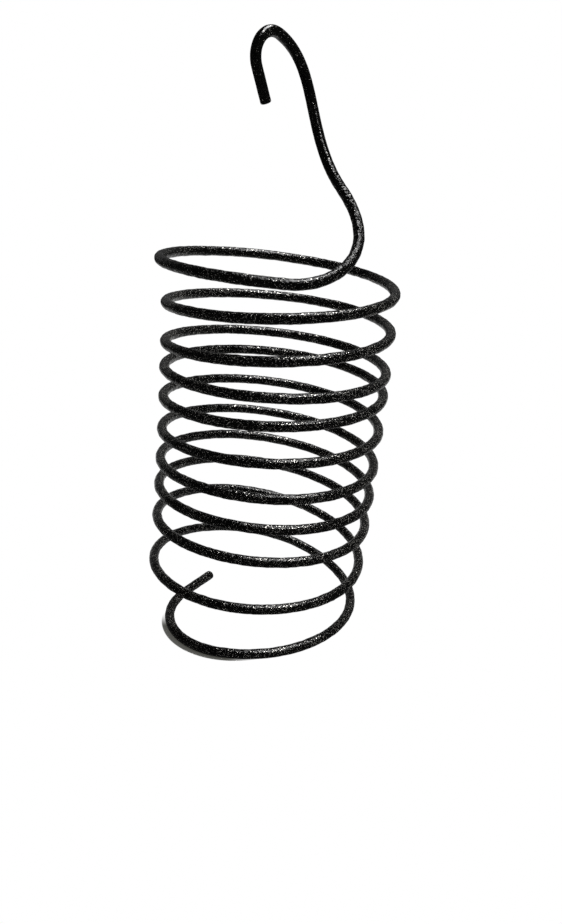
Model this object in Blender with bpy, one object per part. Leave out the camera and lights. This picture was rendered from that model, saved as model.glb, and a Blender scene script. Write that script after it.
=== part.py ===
"""A spiral plant support, bent from one length of coated steel wire.

An open coil, stretched by hand, stands on a foot ring that lies flat. The wire's top end leaves the front
of the coil, sweeps up over it as a neck and ends in a hook, which hangs the coil from above its middle.

Lengths are in metres and +Z is up. The front is towards -Y. Places along the coil are counted in turns,
downwards from the left end of the top turn: 0.25 is at the back, 0.5 at the right and 0.75 at the front.
"""
import bmesh
import bpy
import numpy as np
from math import cos, pi, radians, sin, tan
from mathutils import Vector
from mathutils.geometry import interpolate_bezier

# The wire
WIRE = 0.004  # diameter over the coating
END_BEVEL = 0.0005  # rounding of the two cut ends
FOOT_FLAT = 0.0004  # depth of the flat under the foot ring

# The coil in plan, as radii of the wire's centre line
COIL_RADIUS = 0.0465
TOP_RADIUS = 0.049  # the top turn opens out towards the neck
TOP_RADIUS_END = 0.25  # turn at which the top radius meets the coil's
FOOT_RADIUS = 0.033  # the foot ring closes in at its front

# How far the wire drops in each half turn, from the neck down
FIRST_HALF_TURN = -0.25  # middle of the first front half turn, where the neck joins
FRONT_DROPS = (-0.006, 0.010, 0.0115, 0.0035, 0.0085, 0.0065, 0.003, 0.001, 0.002, 0.0095)
BACK_DROPS = (0.011, 0.005, 0.0065, 0.005, 0.0075, 0.010, 0.011, 0.013, 0.016)

# The last turn, which falls to the foot ring, placed in turns after its left end
LEVEL_DROP = 0.001  # drop per half turn at that left end
STEEPEST_DROP = 0.0325  # drop per half turn where the wire falls fastest
STEEPEST_AFTER = 0.35
LANDING_AFTER = 0.55
SQUARE_UNTIL = -0.1  # from here to the landing the turn twists from square on the axis to level
FOOT_RADIUS_AFTER = 0.8
TAIL_AFTER = 1.1
TAIL_LENGTH = 0.0185  # the straight free end

# The axis of the coil leans to the right, and bows upright towards the top
FOOT_LEAN = radians(7.5)
TOP_LEAN = radians(3.5)
LEAN_HEIGHT = 0.150  # height over which the one becomes the other
BACK_LEAN = radians(0.75)

# The neck turns upwards at a bend, given from where it leaves the coil
BEND_RIGHT = 0.0215
BEND_BACK = 0.037
BEND_UP = 0.0295
BEND_HEADING = radians(145)  # of the wire as it rises through the bend, from +X towards +Y
BEND_SLOPE = radians(49)
SHANK_PULL = 0.41  # reach of the curve's handles above the bend, as a share of that stretch
NECK_PULL_HIGH = 0.58  # the same just below the bend
NECK_PULL_LOW = 0.32  # the same where the neck leaves the coil

# The hook: its arch is centred over the coil, above where the neck leaves it
HOOK_RIGHT = 0.011  # from the middle of the foot ring
HOOK_BACK = 0.0
HOOK_RISE = 0.0745
HOOK_RADIUS = 0.009
HOOK_TURN = radians(44.5)  # of the hook's plane about the vertical
HOOK_TILT = radians(15)  # of the hook in its plane
TIP_ANGLE = radians(186)  # ends of the arch, round from the shank's side
SHANK_ANGLE = radians(52)
HOOK_LEG = 0.013  # straight, from the arch to the tip

# Fineness of the solid
WIRE_SIDES = 10
TURN_STEPS = 30
ARCH_STEPS = 10
SHANK_STEPS = 16
NECK_STEPS = 12
PROFILE_STEPS = 200  # in a turn, for the height and for the gap
SMOOTH_ANGLE = radians(45)  # sharper edges than this stay crisp

COAT_COLOUR = (0.014, 0.014, 0.015, 1.0)
COAT_METALLIC = 0.35
COAT_ROUGHNESS = 0.42

WIRE_RADIUS = WIRE / 2
FOOT_HEIGHT = WIRE_RADIUS - FOOT_FLAT  # of the centre line where the wire lies on the floor
LAST_LEFT = FIRST_HALF_TURN + (len(FRONT_DROPS) + len(BACK_DROPS)) / 2 - 0.25
LANDING = LAST_LEFT + LANDING_AFTER


def clear_scene():
    for item in list(bpy.data.objects):
        bpy.data.objects.remove(item, do_unlink=True)


def coated_steel():
    """The wire's finish: a black coat with a dull metal gleam."""
    material = bpy.data.materials.new("hammered_black_coat")
    material.use_nodes = True
    shader = material.node_tree.nodes["Principled BSDF"]
    shader.inputs["Base Color"].default_value = COAT_COLOUR
    shader.inputs["Metallic"].default_value = COAT_METALLIC
    shader.inputs["Roughness"].default_value = COAT_ROUGHNESS
    material.diffuse_color = COAT_COLOUR
    return material


def height_profile():
    """Turns down the coil, and the height above the foot ring at each, from the half turns' drops."""
    drops = [drop for pair in zip(FRONT_DROPS, BACK_DROPS) for drop in pair] + [FRONT_DROPS[-1]]
    places = [FIRST_HALF_TURN + k / 2 for k in range(len(drops))]
    places += [LAST_LEFT, LAST_LEFT + STEEPEST_AFTER, LANDING]
    drops += [LEVEL_DROP, STEEPEST_DROP, 0.0]
    count = round((LANDING - FIRST_HALF_TURN) * PROFILE_STEPS)
    turns = np.linspace(FIRST_HALF_TURN, LANDING, count + 1)
    slopes = 2 * np.interp(turns, places, drops)
    falls = (slopes[1:] + slopes[:-1]) / 2 * np.diff(turns)
    heights = np.append(np.cumsum(falls[::-1])[::-1], 0.0)
    return turns, heights


PROFILE = height_profile()


def turn_angle(turn):
    """Angle round the axis, from +X towards +Y: the wire runs clockwise on its way down."""
    return pi - 2 * pi * turn


def arc_point(radius, meeting, turn):
    """Point on an arc of this radius that is tangent to the coil's circle where it meets it."""
    offset = COIL_RADIUS - radius
    x = offset * cos(turn_angle(meeting)) + radius * cos(turn_angle(turn))
    y = offset * sin(turn_angle(meeting)) + radius * sin(turn_angle(turn))
    return x, y


def plan_point(turn):
    """The wire seen from above: the top arc, the coil, and the tighter arc of the foot ring."""
    if turn < TOP_RADIUS_END:
        return arc_point(TOP_RADIUS, TOP_RADIUS_END, turn)
    if turn > LAST_LEFT + FOOT_RADIUS_AFTER:
        return arc_point(FOOT_RADIUS, LAST_LEFT + FOOT_RADIUS_AFTER, turn)
    return arc_point(COIL_RADIUS, turn, turn)


def squareness(turn):
    """1 where the turns lie square to the leaning axis, falling to 0 where they have landed level."""
    share = (turn - LAST_LEFT - SQUARE_UNTIL) / (LANDING_AFTER - SQUARE_UNTIL)
    share = min(max(share, 0.0), 1.0)
    return 1 - share * share * (3 - 2 * share)


def coil_point(turn):
    """Centre of the wire at this place on the coil, from the middle of the foot ring on the floor."""
    x, y = plan_point(turn)
    height = float(np.interp(turn, *PROFILE))
    bow = (tan(TOP_LEAN) - tan(FOOT_LEAN)) / LEAN_HEIGHT
    lean = tan(FOOT_LEAN) + bow * height
    axis_x = tan(FOOT_LEAN) * height + bow * height * height / 2
    axis_y = tan(BACK_LEAN) * height
    dip = squareness(turn) * (lean * x + tan(BACK_LEAN) * y)
    return Vector((axis_x + x, axis_y + y, FOOT_HEIGHT + height - dip))


def coil_line(turn_steps):
    """Points from the neck's end of the coil to the end of the foot arc, then the straight tail's end."""
    last = LAST_LEFT + TAIL_AFTER
    count = round((last - FIRST_HALF_TURN) * turn_steps)
    turns = [FIRST_HALF_TURN + (last - FIRST_HALF_TURN) * k / count for k in range(count + 1)]
    points = [coil_point(turn) for turn in turns]
    tail = (coil_point(last) - coil_point(last - 0.001)).normalized()
    return points + [points[-1] + tail * TAIL_LENGTH]


def hook_line(start, arch_steps):
    """Points from the hook's tip round its arch, and the direction in which the arch ends."""
    flat = Vector((cos(HOOK_TURN), sin(HOOK_TURN), 0))
    up = Vector((0, 0, 1))
    along = flat * cos(HOOK_TILT) + up * sin(HOOK_TILT)
    above = up * cos(HOOK_TILT) - flat * sin(HOOK_TILT)
    centre = Vector((HOOK_RIGHT, HOOK_BACK, start.z + HOOK_RISE))

    def direction(angle):
        return along * sin(angle) - above * cos(angle)

    angles = [TIP_ANGLE + (SHANK_ANGLE - TIP_ANGLE) * k / arch_steps for k in range(arch_steps + 1)]
    arch = [centre + (along * cos(angle) + above * sin(angle)) * HOOK_RADIUS for angle in angles]
    tip = arch[0] - direction(TIP_ANGLE) * HOOK_LEG
    return [tip] + arch, direction(SHANK_ANGLE)


def swept_line(start, start_way, start_pull, end, end_way, end_pull, steps):
    """Points of a smooth stretch of wire between two places, without the first."""
    span = (end - start).length
    start_handle = start + start_way * span * start_pull
    end_handle = end - end_way * span * end_pull
    return interpolate_bezier(start, start_handle, end_handle, end, steps + 1)[1:]


def centre_line(fineness=1):
    """The whole wire's centre, from the hook's tip to the foot's tail, about the middle of its box."""
    coil = coil_line(TURN_STEPS * fineness)
    start_way = (coil_point(FIRST_HALF_TURN + 0.001) - coil[0]).normalized()
    bend = coil[0] + Vector((BEND_RIGHT, BEND_BACK, BEND_UP))
    level = Vector((cos(BEND_HEADING), sin(BEND_HEADING), 0))
    bend_way = -(level * cos(BEND_SLOPE) + Vector((0, 0, 1)) * sin(BEND_SLOPE))
    hook, hook_way = hook_line(coil[0], ARCH_STEPS * fineness)
    shank = swept_line(
        hook[-1], hook_way, SHANK_PULL, bend, bend_way, SHANK_PULL, SHANK_STEPS * fineness
    )
    neck = swept_line(
        bend, bend_way, NECK_PULL_HIGH, coil[0], start_way, NECK_PULL_LOW, NECK_STEPS * fineness
    )
    points = hook + shank + neck + coil[1:]
    middle = [(min(p[k] for p in points) + max(p[k] for p in points)) / 2 for k in (0, 1)]
    return [point - Vector((*middle, 0)) for point in points]


def bevelled_stations(points):
    """Centre and radius of every ring, with the small end rings that round the cut ends."""
    first = (points[1] - points[0]).normalized() * END_BEVEL
    last = (points[-2] - points[-1]).normalized() * END_BEVEL
    body = [points[0] + first] + points[1:-1] + [points[-1] + last]
    end_radius = WIRE_RADIUS - END_BEVEL
    stations = [(points[0], end_radius)] + [(point, WIRE_RADIUS) for point in body]
    return stations + [(points[-1], end_radius)]


def add_wire(points, material):
    """Sweeps a ring along the centre line, from the level tail upwards so that the flat stays underneath."""
    stations = bevelled_stations(points)[::-1]
    mesh = bmesh.new()
    rings = []
    down = Vector((0, 0, -1))
    tangent = None
    for k, (centre, radius) in enumerate(stations):
        before = stations[max(k - 1, 0)][0]
        after = stations[min(k + 1, len(stations) - 1)][0]
        previous, tangent = tangent, (after - before).normalized()
        if previous:
            down = previous.rotation_difference(tangent) @ down
        across = tangent.cross(down)
        ring = []
        for side in range(WIRE_SIDES):
            angle = 2 * pi * side / WIRE_SIDES
            point = centre + (down * cos(angle) + across * sin(angle)) * radius
            point.z = max(point.z, 0.0)
            ring.append(mesh.verts.new(point))
        rings.append(ring)
    for low, high in zip(rings, rings[1:]):
        for k in range(WIRE_SIDES):
            n = (k + 1) % WIRE_SIDES
            mesh.faces.new((low[k], low[n], high[n], high[k]))
    mesh.faces.new(rings[0][::-1])
    mesh.faces.new(rings[-1])
    bmesh.ops.recalc_face_normals(mesh, faces=mesh.faces)
    data = bpy.data.meshes.new("spiral_wire")
    mesh.to_mesh(data)
    mesh.free()
    data.materials.append(material)
    data.shade_smooth()
    data.set_sharp_from_angle(angle=SMOOTH_ANGLE)
    wire = bpy.data.objects.new("spiral_wire", data)
    bpy.context.scene.collection.objects.link(wire)
    return wire


def least_gap(points):
    """The least clear space between the wire and itself, over places half a turn or more apart on it."""
    places = np.array([tuple(point) for point in points])
    steps = np.linalg.norm(np.diff(places, axis=0), axis=1)
    run = np.append(0.0, np.cumsum(steps))
    least = np.inf
    for place, start in zip(places, run):
        beyond = places[run > start + pi * COIL_RADIUS]
        if len(beyond):
            least = min(least, np.linalg.norm(beyond - place, axis=1).min())
    return least - WIRE


def main():
    clear_scene()
    wire = add_wire(centre_line(), coated_steel())
    gap = least_gap(centre_line(fineness=6))
    print(f"{wire.name}: least gap to itself {gap * 1000:.2f} mm")


main()
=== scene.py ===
"""A spiral plant support of black hammered wire, on a white studio floor.

Lengths are in metres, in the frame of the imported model: +Z is up, the front is towards -Y, and the middle
of the wire's box is above the origin. The wire's line is the same as the solid's, from the same sizes.
"""
from math import cos, pi, radians, sin, tan

import bpy
import numpy as np
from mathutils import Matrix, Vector
from mathutils.geometry import interpolate_bezier


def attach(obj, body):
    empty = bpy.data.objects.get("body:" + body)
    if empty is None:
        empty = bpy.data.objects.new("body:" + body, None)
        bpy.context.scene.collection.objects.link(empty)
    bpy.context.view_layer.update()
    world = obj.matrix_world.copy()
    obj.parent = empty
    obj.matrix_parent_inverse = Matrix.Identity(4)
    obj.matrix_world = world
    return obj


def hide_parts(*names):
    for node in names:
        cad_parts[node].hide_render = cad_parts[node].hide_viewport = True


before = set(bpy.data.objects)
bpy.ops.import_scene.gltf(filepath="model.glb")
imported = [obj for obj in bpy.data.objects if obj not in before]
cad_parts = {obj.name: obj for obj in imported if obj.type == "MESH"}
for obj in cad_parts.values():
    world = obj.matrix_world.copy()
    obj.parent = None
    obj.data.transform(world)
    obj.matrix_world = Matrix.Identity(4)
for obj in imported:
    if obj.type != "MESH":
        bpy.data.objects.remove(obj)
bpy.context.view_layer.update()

# The wire
WIRE = 0.004
COAT_DEPTH = 0.0001  # what the coat adds to the solid's radius
END_ROUNDING = 0.0006  # at the rims of the two cut ends
FOOT_FLAT = 0.0004  # taken off under the foot ring, which stands on it

# The coil in plan, as radii of the wire's centre line. Places down the coil are in turns, whole numbers
# of which are at its left end
COIL_RADIUS = 0.0465
TOP_RADIUS = 0.049
TOP_RADIUS_END = 0.25
FOOT_RADIUS = 0.033

# How far the wire drops in each half turn, from the neck down
FIRST_HALF_TURN = -0.25
FRONT_DROPS = (-0.006, 0.010, 0.0115, 0.0035, 0.0085, 0.0065, 0.003, 0.001, 0.002, 0.0095)
BACK_DROPS = (0.011, 0.005, 0.0065, 0.005, 0.0075, 0.010, 0.011, 0.013, 0.016)

# The last turn, which falls to the foot ring. Its places are in turns after its left end
LEVEL_DROP = 0.001
STEEPEST_DROP = 0.0325
STEEPEST_AFTER = 0.35
LANDING_AFTER = 0.55
SQUARE_UNTIL = -0.1
FOOT_RADIUS_AFTER = 0.8
TAIL_AFTER = 1.1
TAIL_LENGTH = 0.0185

# The axis of the coil leans to the right, and bows upright towards the top
FOOT_LEAN = radians(7.5)
TOP_LEAN = radians(3.5)
LEAN_HEIGHT = 0.150
BACK_LEAN = radians(0.75)

# The neck turns upwards at a bend, placed from where the wire leaves the coil. A pull is how far a
# smooth stretch keeps to its end's direction, as a share of the stretch
BEND_RIGHT = 0.0215
BEND_BACK = 0.037
BEND_UP = 0.0295
BEND_HEADING = radians(145)
BEND_SLOPE = radians(49)
SHANK_PULL = 0.41
NECK_PULL_HIGH = 0.58
NECK_PULL_LOW = 0.32

# The hook
HOOK_RIGHT = 0.011
HOOK_BACK = 0.0
HOOK_RISE = 0.0745
HOOK_RADIUS = 0.009
HOOK_TURN = radians(44.5)
HOOK_TILT = radians(15)
TIP_ANGLE = radians(186)
SHANK_ANGLE = radians(52)
HOOK_LEG = 0.013

# Fineness of the wire
WIRE_SIDES = 18
RING_STEP = 0.0006
TURN_STEPS = 360
SWEEP_STEPS = 120
PROFILE_STEPS = 200
END_RINGS = 5
DIRECTION_STEP = 0.001  # of a turn, from which the wire's direction is taken
QUARTER_TURN = 0.25

WIRE_RADIUS = WIRE / 2
FOOT_HEIGHT = WIRE_RADIUS - FOOT_FLAT
LAST_LEFT = FIRST_HALF_TURN + (len(FRONT_DROPS) + len(BACK_DROPS)) / 2 - QUARTER_TURN
LANDING = LAST_LEFT + LANDING_AFTER


# The wire's centre line

def height_profile():
    """Turns down the coil, and the height above the foot ring at each, from the half turns' drops."""
    drops = [drop for pair in zip(FRONT_DROPS, BACK_DROPS) for drop in pair] + [FRONT_DROPS[-1]]
    places = [FIRST_HALF_TURN + k / 2 for k in range(len(drops))]
    places += [LAST_LEFT, LAST_LEFT + STEEPEST_AFTER, LANDING]
    drops += [LEVEL_DROP, STEEPEST_DROP, 0.0]
    count = round((LANDING - FIRST_HALF_TURN) * PROFILE_STEPS)
    turns = np.linspace(FIRST_HALF_TURN, LANDING, count + 1)
    slopes = 2 * np.interp(turns, places, drops)
    falls = (slopes[1:] + slopes[:-1]) / 2 * np.diff(turns)
    heights = np.append(np.cumsum(falls[::-1])[::-1], 0.0)
    return turns, heights


PROFILE = height_profile()


def turn_angle(turn):
    """Angle round the axis, from +X towards +Y: the wire runs clockwise on its way down."""
    return pi - 2 * pi * turn


def arc_point(radius, meeting, turn):
    """Point on an arc of this radius that is tangent to the coil's circle where it meets it."""
    offset = COIL_RADIUS - radius
    x = offset * cos(turn_angle(meeting)) + radius * cos(turn_angle(turn))
    y = offset * sin(turn_angle(meeting)) + radius * sin(turn_angle(turn))
    return x, y


def plan_point(turn):
    """The wire seen from above: the top arc, the coil, and the tighter arc of the foot ring."""
    if turn < TOP_RADIUS_END:
        return arc_point(TOP_RADIUS, TOP_RADIUS_END, turn)
    if turn > LAST_LEFT + FOOT_RADIUS_AFTER:
        return arc_point(FOOT_RADIUS, LAST_LEFT + FOOT_RADIUS_AFTER, turn)
    return arc_point(COIL_RADIUS, turn, turn)


def squareness(turn):
    """1 where the turns lie square to the leaning axis, falling to 0 where they have landed level."""
    share = (turn - LAST_LEFT - SQUARE_UNTIL) / (LANDING_AFTER - SQUARE_UNTIL)
    share = min(max(share, 0.0), 1.0)
    return 1 - share * share * (3 - 2 * share)


def coil_point(turn):
    """Centre of the wire at this place on the coil, from the middle of the foot ring on the floor."""
    x, y = plan_point(turn)
    height = float(np.interp(turn, *PROFILE))
    bow = (tan(TOP_LEAN) - tan(FOOT_LEAN)) / LEAN_HEIGHT
    lean = tan(FOOT_LEAN) + bow * height
    axis_x = tan(FOOT_LEAN) * height + bow * height * height / 2
    axis_y = tan(BACK_LEAN) * height
    dip = squareness(turn) * (lean * x + tan(BACK_LEAN) * y)
    return Vector((axis_x + x, axis_y + y, FOOT_HEIGHT + height - dip))


def coil_line():
    """Points from the neck's end of the coil to the end of the foot arc, then the straight tail's end."""
    last = LAST_LEFT + TAIL_AFTER
    count = round((last - FIRST_HALF_TURN) * TURN_STEPS)
    turns = [FIRST_HALF_TURN + (last - FIRST_HALF_TURN) * k / count for k in range(count + 1)]
    points = [coil_point(turn) for turn in turns]
    tail = (coil_point(last) - coil_point(last - DIRECTION_STEP)).normalized()
    return points + [points[-1] + tail * TAIL_LENGTH]


def hook_line(start):
    """Points from the hook's tip round its arch, and the direction in which the arch ends."""
    flat = Vector((cos(HOOK_TURN), sin(HOOK_TURN), 0))
    up = Vector((0, 0, 1))
    along = flat * cos(HOOK_TILT) + up * sin(HOOK_TILT)
    above = up * cos(HOOK_TILT) - flat * sin(HOOK_TILT)
    centre = Vector((HOOK_RIGHT, HOOK_BACK, start.z + HOOK_RISE))

    def direction(angle):
        return along * sin(angle) - above * cos(angle)

    angles = [TIP_ANGLE + (SHANK_ANGLE - TIP_ANGLE) * k / SWEEP_STEPS for k in range(SWEEP_STEPS + 1)]
    arch = [centre + (along * cos(angle) + above * sin(angle)) * HOOK_RADIUS for angle in angles]
    tip = arch[0] - direction(TIP_ANGLE) * HOOK_LEG
    return [tip] + arch, direction(SHANK_ANGLE)


def swept_line(start, start_way, start_pull, end, end_way, end_pull):
    """Points of a smooth stretch of wire between two places, without the first."""
    span = (end - start).length
    handles = start + start_way * span * start_pull, end - end_way * span * end_pull
    return interpolate_bezier(start, *handles, end, SWEEP_STEPS + 1)[1:]


def centre_line():
    """The whole wire's centre, from the hook's tip to the foot's tail, about the middle of its box."""
    coil = coil_line()
    start_way = (coil_point(FIRST_HALF_TURN + DIRECTION_STEP) - coil[0]).normalized()
    bend = coil[0] + Vector((BEND_RIGHT, BEND_BACK, BEND_UP))
    level = Vector((cos(BEND_HEADING), sin(BEND_HEADING), 0))
    bend_way = -(level * cos(BEND_SLOPE) + Vector((0, 0, 1)) * sin(BEND_SLOPE))
    hook, hook_way = hook_line(coil[0])
    shank = swept_line(hook[-1], hook_way, SHANK_PULL, bend, bend_way, SHANK_PULL)
    neck = swept_line(bend, bend_way, NECK_PULL_HIGH, coil[0], start_way, NECK_PULL_LOW)
    points = np.array([tuple(point) for point in hook + shank + neck + coil[1:]])
    middle = (points.min(axis=0) + points.max(axis=0)) / 2
    return points - (middle[0], middle[1], 0)


def wire_stations():
    """Places of the wire's rings, evenly along it and close at the cut ends, and each ring's radius."""
    points = centre_line()
    run = np.append(0.0, np.cumsum(np.linalg.norm(np.diff(points, axis=0), axis=1)))
    length = run[-1]
    angles = np.linspace(0, pi / 2, END_RINGS)
    end_places = END_ROUNDING * (1 - np.cos(angles))
    full = WIRE_RADIUS + COAT_DEPTH
    end_radii = full - END_ROUNDING * (1 - np.sin(angles))
    count = round((length - 2 * END_ROUNDING) / RING_STEP)
    middle_places = np.linspace(END_ROUNDING, length - END_ROUNDING, count + 1)[1:-1]
    places = np.concatenate((end_places, middle_places, length - end_places[::-1]))
    radii = np.concatenate((end_radii, np.full(count - 1, full), end_radii[::-1]))
    centres = np.stack([np.interp(places, run, points[:, k]) for k in range(3)], axis=1)
    return centres, radii


# Nodes, written as sums

class Socket:
    """A node's output, which Python's own operators turn into Math nodes."""

    def __init__(self, nodes, output):
        self.nodes = nodes
        self.output = output

    def maths(self, operation, *values):
        return self.nodes.add("ShaderNodeMath", {"operation": operation}, dict(enumerate(values)))

    def __add__(self, other):
        return self.maths("ADD", self, other)

    def __radd__(self, other):
        return self.maths("ADD", other, self)

    def __sub__(self, other):
        return self.maths("SUBTRACT", self, other)

    def __rsub__(self, other):
        return self.maths("SUBTRACT", other, self)

    def __mul__(self, other):
        return self.maths("MULTIPLY", self, other)

    def __rmul__(self, other):
        return self.maths("MULTIPLY", other, self)

    def __truediv__(self, other):
        return self.maths("DIVIDE", self, other)

    def __rtruediv__(self, other):
        return self.maths("DIVIDE", other, self)

    def at_least(self, other):
        return self.maths("MAXIMUM", self, other)

    def between(self, low, high):
        """0 below one value, 1 above the other, and a smooth step from one to the other."""
        settings = {"interpolation_type": "SMOOTHSTEP"}
        values = {"Value": self, "From Min": low, "From Max": high}
        return self.nodes.add("ShaderNodeMapRange", settings, values)


class Nodes:
    """The nodes of one tree, of a material, the world or a piece's shape."""

    def __init__(self, tree):
        self.tree = tree

    def add(self, kind, settings, values, output=0):
        """Adds a node: its settings first, then its sockets' values or links. Gives one of its outputs."""
        made = self.tree.nodes.new(kind)
        for name, setting in settings.items():
            setattr(made, name, setting)
        for name, value in values.items():
            self.join(value, made.inputs[name])
        return Socket(self, made.outputs[output])

    def join(self, value, entry):
        if isinstance(value, Socket):
            self.tree.links.new(value.output, entry)
        else:
            entry.default_value = value

    def noise(self, place, width, detail=1.0):
        """A noise from 0 to 1 whose lumps are this wide."""
        values = {"Vector": place, "Scale": 1 / width, "Detail": detail}
        return self.add("ShaderNodeTexNoise", {}, values, "Fac")

    def blend(self, share, first, second):
        """A colour between two others. The node's sockets for colours are its inputs 6 and 7 and output 2."""
        return self.add("ShaderNodeMix", {"data_type": "RGBA"}, {"Factor": share, 6: first, 7: second}, 2)

    def ray(self, kind):
        """1 for a ray of this kind, such as one from the camera, and 0 for any other."""
        return self.add("ShaderNodeLightPath", {}, {}, kind)


# The finish

COAT_BLACK = (0.001, 0.001, 0.001, 1)
COAT_GREY = (0.002, 0.002, 0.0018, 1)
FLAKE_SILVER = (0.8, 0.78, 0.73, 1)

# The grain, as the coat's bump shows it, and the patches, which are only a little lighter
GRAIN_WIDTH = 0.0005
GRAIN_HEIGHT = 0.00011
BEAD_WIDTH = 0.0009
BEAD_HEIGHT = 0.00008
BEAD_SOFTNESS = 0.4
LUMP_WIDTH = 0.0018
LUMP_HEIGHT = 0.0002
PATCH_WIDTH = 0.006
PATCH_DETAIL = 2.0

# Heights on the wire between which the grain dies away, and between which the flakes thin out
ROUGH_BELOW = 0.18
SMOOTH_ABOVE = 0.205
FLAKES_BELOW = 0.148
BARE_ABOVE = 0.168
NECK_DEEPER = 1.4  # how much deeper the grain is on the neck than on the coil
HOOK_SHALLOWER = 2.0  # and how much of that depth the shank and the hook lose again

# The flakes show where a fine noise is high
FLAKE_WIDTH = 0.00058
FLAKES_FROM = 0.7
FLAKES_FULL = 0.75
PATCH_FLAKES = 0.16  # what the patches add to that noise
NECK_FEWER = 0.08  # what it loses above the coil
HOOK_FEWER = 0.01  # and again on the shank and the hook

COAT_ROUGHNESS = 0.12
GRAIN_ROUGHNESS = 0.08
FLAKE_ROUGHNESS = 0.13
HOOK_GLOSS = 0.4  # the share of the coat's roughness that the hook lacks


def hammered_black_coat():
    """A black coat with a beaded, lumpy grain and bright flakes in it, smoother on the hook."""
    material = bpy.data.materials.new("hammered_black_coat")
    material.use_nodes = True
    nodes = Nodes(material.node_tree)
    shader = material.node_tree.nodes["Principled BSDF"].inputs
    place = nodes.add("ShaderNodeTexCoord", {}, {}, "Object")
    up = nodes.add("ShaderNodeSeparateXYZ", {}, {0: place}, "Z")
    smooth = up.between(ROUGH_BELOW, SMOOTH_ABOVE)
    bare = up.between(FLAKES_BELOW, BARE_ABOVE)
    grain = nodes.noise(place, GRAIN_WIDTH)
    lumps = nodes.noise(place, LUMP_WIDTH)
    patches = nodes.noise(place, PATCH_WIDTH, PATCH_DETAIL)
    beads = nodes.add("ShaderNodeTexVoronoi", {"feature": "SMOOTH_F1"},
                      {"Vector": place, "Scale": 1 / BEAD_WIDTH, "Smoothness": BEAD_SOFTNESS}, "Distance")
    depth = 1 + bare * NECK_DEEPER - smooth * HOOK_SHALLOWER
    height = depth * (grain * GRAIN_HEIGHT + lumps * LUMP_HEIGHT - beads * BEAD_HEIGHT)
    bump = nodes.add("ShaderNodeBump", {}, {"Strength": 1.0, "Distance": 1.0, "Height": height}, "Normal")
    fine = nodes.noise(place, FLAKE_WIDTH)
    dotted = fine + patches * PATCH_FLAKES - bare * NECK_FEWER - smooth * HOOK_FEWER
    flakes = dotted.between(FLAKES_FROM, FLAKES_FULL)
    ground = nodes.blend(patches, COAT_BLACK, COAT_GREY)
    dull = (COAT_ROUGHNESS + grain * GRAIN_ROUGHNESS) * (1 - smooth * HOOK_GLOSS)
    nodes.join(nodes.blend(flakes, ground, FLAKE_SILVER), shader["Base Color"])
    nodes.join(flakes, shader["Metallic"])
    nodes.join(dull + flakes * FLAKE_ROUGHNESS, shader["Roughness"])
    nodes.join(bump, shader["Normal"])
    return material


# The wire

PIECE_NAME = "hammered_wire"

# The lumps and the grain of its own shape, which are wider than those of the coat's bump
SHAPE_LUMP_WIDTH = 0.0035
SHAPE_LUMP_HEIGHT = 0.0004
SHAPE_GRAIN_WIDTH = 0.0015
SHAPE_GRAIN_HEIGHT = 0.0002
NOISE_MIDDLE = 0.5
HOOK_EVENNESS = 0.8  # the share of both that the hook lacks


def wire_tree():
    """Geometry Nodes that sweep the wire along its line, roughen it, and level its foot."""
    tree = bpy.data.node_groups.new(PIECE_NAME, "GeometryNodeTree")
    entries = tree.interface
    entries.new_socket("Line", in_out="INPUT", socket_type="NodeSocketGeometry")
    entries.new_socket("Sides", in_out="INPUT", socket_type="NodeSocketInt")
    sizes = ("Lump Width", "Lump Height", "Grain Width", "Grain Height", "Rough Below", "Smooth Above")
    for name in sizes:
        entries.new_socket(name, in_out="INPUT", socket_type="NodeSocketFloat")
    entries.new_socket("Coat", in_out="INPUT", socket_type="NodeSocketMaterial")
    entries.new_socket("Wire", in_out="OUTPUT", socket_type="NodeSocketGeometry")
    nodes = Nodes(tree)
    received = tree.nodes.new("NodeGroupInput").outputs
    given = {item.name: Socket(nodes, item) for item in received if item.name}
    radius = nodes.add("GeometryNodeInputRadius", {}, {})
    ring = nodes.add("GeometryNodeCurvePrimitiveCircle", {"mode": "RADIUS"},
                     {"Resolution": given["Sides"], "Radius": 1.0})
    tube = nodes.add("GeometryNodeCurveToMesh", {},
                     {"Curve": given["Line"], "Profile Curve": ring, "Scale": radius, "Fill Caps": True})
    place = nodes.add("GeometryNodeInputPosition", {}, {})
    normal = nodes.add("GeometryNodeInputNormal", {}, {})
    lumps = nodes.noise(place, given["Lump Width"]) - NOISE_MIDDLE
    grain = nodes.noise(place, given["Grain Width"]) - NOISE_MIDDLE
    x, y, z = (nodes.add("ShaderNodeSeparateXYZ", {}, {0: place}, axis) for axis in "XYZ")
    smooth = z.between(given["Rough Below"], given["Smooth Above"])
    rise = (1 - smooth * HOOK_EVENNESS) * (lumps * given["Lump Height"] + grain * given["Grain Height"])
    push = nodes.add("ShaderNodeVectorMath", {"operation": "SCALE"}, {0: normal, "Scale": rise})
    rough = nodes.add("GeometryNodeSetPosition", {}, {"Geometry": tube, "Offset": push})
    level = nodes.add("ShaderNodeCombineXYZ", {}, {"X": x, "Y": y, "Z": z.at_least(0.0)})
    footed = nodes.add("GeometryNodeSetPosition", {}, {"Geometry": rough, "Position": level})
    shaded = nodes.add("GeometryNodeSetShadeSmooth", {}, {"Geometry": footed, "Shade Smooth": True})
    real = nodes.add("GeometryNodeRealizeInstances", {}, {"Geometry": shaded})
    coated = nodes.add("GeometryNodeSetMaterial", {}, {"Geometry": real, "Material": given["Coat"]})
    nodes.join(coated, tree.nodes.new("NodeGroupOutput").inputs["Wire"])
    return tree


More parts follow.
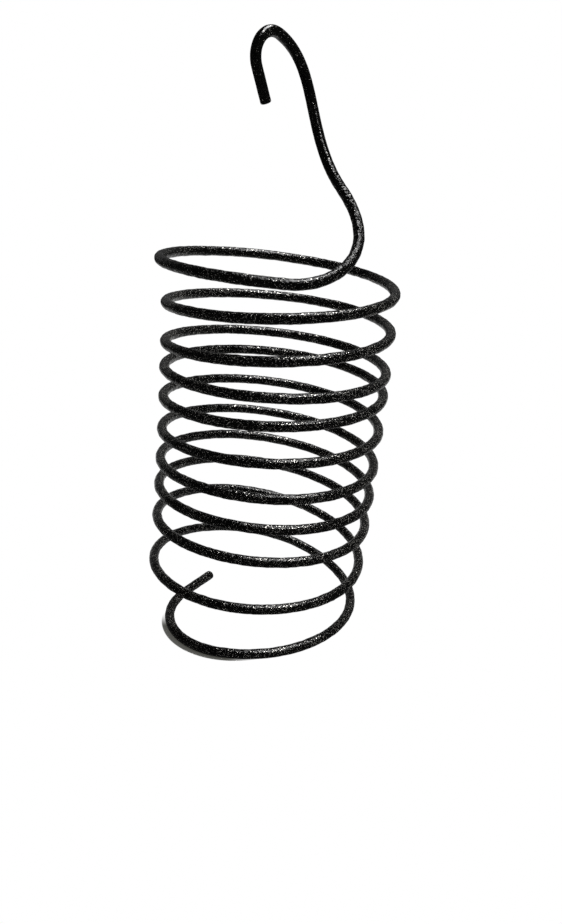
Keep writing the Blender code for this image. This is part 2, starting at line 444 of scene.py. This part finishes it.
def spiral_wire(coat):
    """The whole wire as one closed mesh, swept along its line by the tree above."""
    centres, radii = wire_stations()
    line = bpy.data.curves.new("spiral_wire_line", "CURVE")
    line.dimensions = "3D"
    spline = line.splines.new("POLY")
    spline.points.add(len(centres) - 1)
    spline.points.foreach_set("co", np.column_stack((centres, np.ones(len(centres)))).ravel())
    spline.points.foreach_set("radius", radii)
    drawn = bpy.data.objects.new("spiral_wire_line", line)
    bpy.context.scene.collection.objects.link(drawn)
    modifier = drawn.modifiers.new(PIECE_NAME, "NODES")
    modifier.node_group = wire_tree()
    given = {
        "Sides": WIRE_SIDES,
        "Lump Width": SHAPE_LUMP_WIDTH,
        "Lump Height": SHAPE_LUMP_HEIGHT,
        "Grain Width": SHAPE_GRAIN_WIDTH,
        "Grain Height": SHAPE_GRAIN_HEIGHT,
        "Rough Below": ROUGH_BELOW,
        "Smooth Above": SMOOTH_ABOVE,
        "Coat": coat,
    }
    for item in modifier.node_group.interface.items_tree:
        if item.name in given:
            modifier[item.identifier] = given[item.name]
    graph = bpy.context.evaluated_depsgraph_get()
    mesh = bpy.data.meshes.new_from_object(drawn.evaluated_get(graph))
    bpy.data.objects.remove(drawn)
    mesh.name = PIECE_NAME
    wire = bpy.data.objects.new(PIECE_NAME, mesh)
    bpy.context.scene.collection.objects.link(wire)
    return wire


coat = hammered_black_coat()
wire = spiral_wire(coat)
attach(wire, "root")
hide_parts("spiral_wire")

# The studio

WHITE = (1, 1, 1, 1)
FLOOR_PAINT = (0.9, 0.9, 0.9, 1)
SHEET_REACH = 6  # from the middle of the studio to the edges of the floor, and to the backdrop
BACKDROP_HEIGHT = 4

# The part of the floor that keeps the wire's shadow lies between two circles, beside the front left of
# the foot ring. Each pair is where it fades in or out: as distances from a circle's middle, then as
# places across and along the floor
FOOT_MIDDLE = (-0.01243, -0.01233, 0)
SHADOW_MIDDLE = (-0.01436, -0.0136, 0)
INNER_FADE = (FOOT_RADIUS - 0.001, FOOT_RADIUS + 0.0005)
OUTER_FADE = (FOOT_RADIUS + 0.0014, FOOT_RADIUS + 0.0018)
RIGHT_FADE = (-0.02, 0.0)
BACK_FADE = (-0.021, -0.009)
# The shadow's warm tint is painted light: a weak glow of this colour and strength in that part of the floor
SHADOW_TINT = (1, 1, 0.6, 1)
SHADOW_GLOW = 0.02

# How brightly the room lights the wire, and how bright the surroundings are where the coat mirrors them.
# The floor has a brighter round spot behind the wire, which the coat shows along its edges
ROOM_LIGHT = 0.14
ROOM_MIRRORED = 0.02
FLOOR_MIRRORED = 0.03
BACKDROP_MIRRORED = 0.11
SPOT_MIRRORED = 0.5
SPOT_MIDDLE = (0, 0.4, 0)
SPOT_FADE = (0.2, 0.45)

LAMP_DISTANCE = 2.5
LAMP_AIM = (0, 0, 0.12)

# The camera: its lens in millimetres, its place, and its angles in degrees
LENS_LENGTH = 32.16
SENSOR_WIDTH = 36
NEAREST_SEEN = 0.01
CAMERA_PLACE = (-0.00826, -0.33777, 0.20537)
CAMERA_DOWN = 21.849
CAMERA_TURN = -2.373

scene = bpy.context.scene
scene.view_settings.view_transform = "Standard"


def plain_sheet(name, corners, material):
    """One flat sheet of the studio, from its corners."""
    mesh = bpy.data.meshes.new(name)
    mesh.from_pydata(corners, [], [(0, 1, 2, 3)])
    mesh.materials.append(material)
    sheet = bpy.data.objects.new(name, mesh)
    scene.collection.objects.link(sheet)


def studio_material(name):
    """A material without a shader yet, its nodes, and the entry that its shader goes to."""
    material = bpy.data.materials.new(name)
    material.use_nodes = True
    own = material.node_tree.nodes
    own.remove(own["Principled BSDF"])
    return material, Nodes(material.node_tree), own["Material Output"].inputs["Surface"]


def white_floor():
    """A plain white floor. Beside the front left of the foot ring the side lamp lights it, so that the wire's
    shadow shows there, and a faint warm glow painted there lightens and tints that shadow. Where the coat
    mirrors it, it is dim but for the spot behind."""
    material, nodes, surface = studio_material("white_floor")
    place = nodes.add("ShaderNodeTexCoord", {}, {}, "Object")
    across, along = (nodes.add("ShaderNodeSeparateXYZ", {}, {0: place}, axis) for axis in "XY")
    from_foot, from_shadow, from_spot = (
        nodes.add("ShaderNodeVectorMath", {"operation": "DISTANCE"}, {0: place, 1: middle}, "Value")
        for middle in (FOOT_MIDDLE, SHADOW_MIDDLE, SPOT_MIDDLE))
    beside = from_foot.between(*INNER_FADE) * (1 - from_shadow.between(*OUTER_FADE))
    ahead = (1 - across.between(*RIGHT_FADE)) * (1 - along.between(*BACK_FADE))
    paint = nodes.add("ShaderNodeBsdfDiffuse", {}, {"Color": FLOOR_PAINT})
    glow = nodes.add("ShaderNodeEmission", {}, {"Color": WHITE, "Strength": 1.0})
    # painted fill light: a faint warm glow that lightens and tints the wire's shadow on the floor
    painted_shadow_fill = nodes.add("ShaderNodeEmission", {}, {"Color": SHADOW_TINT, "Strength": SHADOW_GLOW})
    dim = nodes.add("ShaderNodeEmission", {}, {"Color": WHITE, "Strength": FLOOR_MIRRORED})
    spot = nodes.add("ShaderNodeEmission", {}, {"Color": WHITE, "Strength": SPOT_MIRRORED})
    near = nodes.add("ShaderNodeAddShader", {}, {0: paint, 1: painted_shadow_fill})
    shown = nodes.add("ShaderNodeMixShader", {}, {"Fac": beside * ahead, 1: glow, 2: near})
    sheen = nodes.add("ShaderNodeMixShader", {}, {"Fac": from_spot.between(*SPOT_FADE), 1: spot, 2: dim})
    mirrored = nodes.ray("Is Glossy Ray")
    either = nodes.ray("Is Camera Ray").at_least(mirrored)
    seen = nodes.add("ShaderNodeMixShader", {}, {"Fac": mirrored, 1: shown, 2: sheen})
    nodes.join(nodes.add("ShaderNodeMixShader", {}, {"Fac": either, 1: paint, 2: seen}), surface)
    reach = SHEET_REACH
    corners = [(-reach, -reach, 0), (reach, -reach, 0), (reach, reach, 0), (-reach, reach, 0)]
    plain_sheet("floor", corners, material)


def white_backdrop():
    """A white wall behind the wire, dim where the coat mirrors it."""
    material, nodes, surface = studio_material("white_backdrop")
    strength = nodes.ray("Is Glossy Ray") * BACKDROP_MIRRORED + nodes.ray("Is Camera Ray")
    nodes.join(nodes.add("ShaderNodeEmission", {}, {"Color": WHITE, "Strength": strength}), surface)
    reach, top = SHEET_REACH, BACKDROP_HEIGHT
    corners = [(-reach, reach, 0), (reach, reach, 0), (reach, reach, top), (-reach, reach, top)]
    plain_sheet("backdrop", corners, material)


def white_room():
    """The world: white where it is seen, and a weak even light on the wire, fainter in the coat's gloss."""
    world = bpy.data.worlds.new("white_room")
    world.use_nodes = True
    scene.world = world
    nodes = Nodes(world.node_tree)
    seen = nodes.ray("Is Camera Ray") * (1 - ROOM_LIGHT)
    mirrored = nodes.ray("Is Glossy Ray") * (ROOM_LIGHT - ROOM_MIRRORED)
    background = world.node_tree.nodes["Background"].inputs
    nodes.join(WHITE, background["Color"])
    nodes.join(ROOM_LIGHT + seen - mirrored, background["Strength"])


def lamp(name, azimuth, elevation, width, height, power):
    """A soft lamp that faces the wire's middle. Azimuth 0 is behind the wire, 90 at its right."""
    light = bpy.data.lights.new(name, "AREA")
    light.shape = "RECTANGLE"
    light.size = width
    light.size_y = height
    light.energy = power
    bearing, climb = radians(azimuth), radians(elevation)
    away = Vector((sin(bearing) * cos(climb), cos(bearing) * cos(climb), sin(climb)))
    item = bpy.data.objects.new(name, light)
    item.location = Vector(LAMP_AIM) + away * LAMP_DISTANCE
    item.rotation_euler = Vector((0, 0, 1)).rotation_difference(away).to_euler()
    scene.collection.objects.link(item)
    return item


white_floor()
white_backdrop()
white_room()

# The coat mirrors the key lamp in bright dots. The side lamp lights the floor and throws the shadow
key = lamp("key_lamp", azimuth=72, elevation=73, width=0.95, height=2.2, power=66)
key.visible_diffuse = False
key.visible_camera = False
side = lamp("side_lamp", azimuth=86, elevation=44, width=0.12, height=0.12, power=114)
side.visible_glossy = False

lens = bpy.data.cameras.new("camera")
lens.lens = LENS_LENGTH
lens.sensor_width = SENSOR_WIDTH
lens.clip_start = NEAREST_SEEN
camera = bpy.data.objects.new("camera", lens)
camera.location = CAMERA_PLACE
camera.rotation_euler = (radians(90 - CAMERA_DOWN), 0, radians(CAMERA_TURN))
scene.collection.objects.link(camera)
scene.camera = camera
